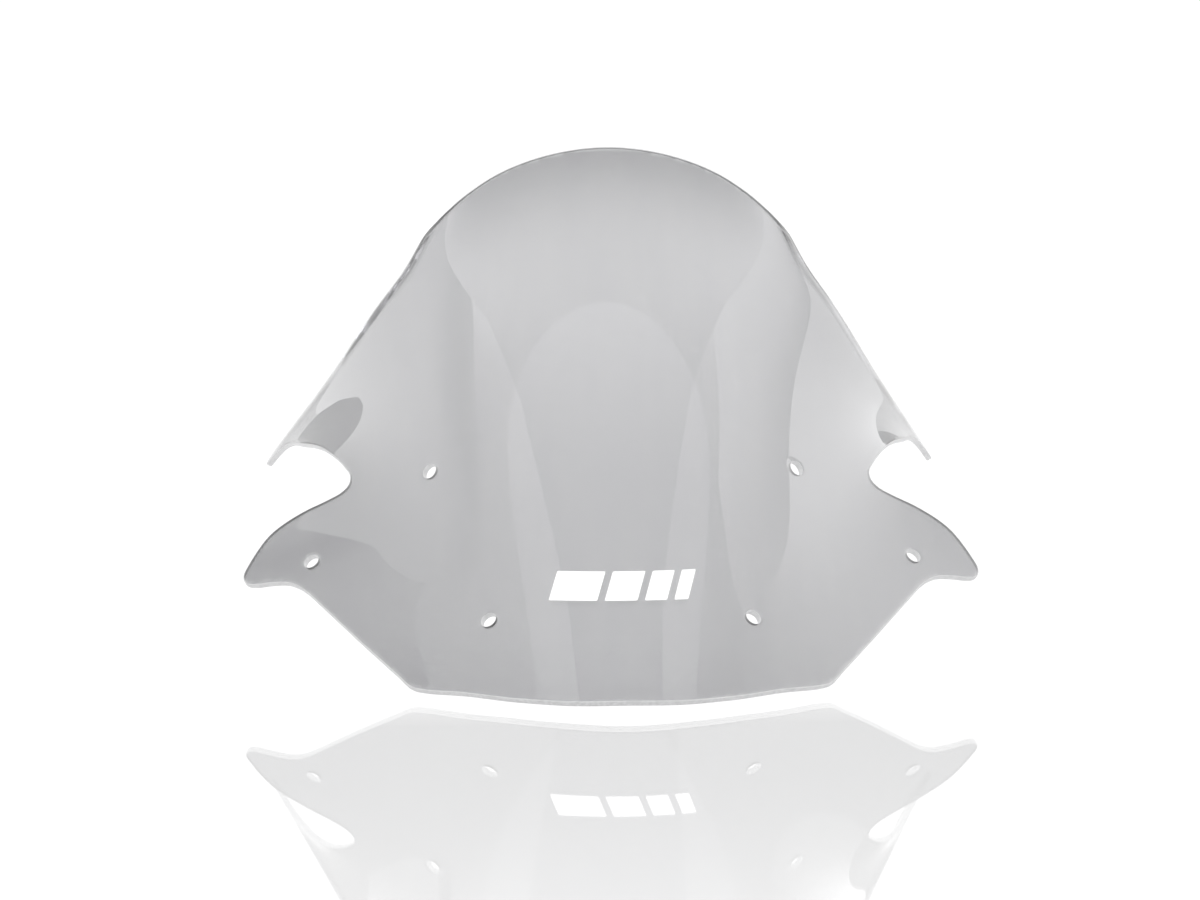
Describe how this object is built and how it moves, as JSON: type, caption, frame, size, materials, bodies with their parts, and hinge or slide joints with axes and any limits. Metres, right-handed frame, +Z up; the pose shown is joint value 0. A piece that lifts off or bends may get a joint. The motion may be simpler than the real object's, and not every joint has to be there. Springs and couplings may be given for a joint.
{
  "type": "motorcycle windshield screen",
  "caption": "Domed smoked acrylic touring windshield with notched, hooked sides, two lower wings, drilled screw holes and a plain white slanted-bar mark.",
  "frame": {"origin": "middle of the bounding box's bottom face, under the sheet's lowest edge", "axes": "+X across the screen to the viewer's right, +Z up, and the convex outer face looks along -Y, so +Y points back to the rider"},
  "size_m": [0.485, 0.423, 0.3341],
  "materials": {
    "smoked_acrylic": "polished, see-through light smoke tint",
    "white_vinyl": "smooth white cut film"
  },
  "bodies": {
    "root": {"screen_shell": "smoked_acrylic", "decal_bar_1": "white_vinyl", "decal_bar_2": "white_vinyl", "decal_bar_3": "white_vinyl", "decal_bar_4": "white_vinyl"}
  },
  "joints": []
}
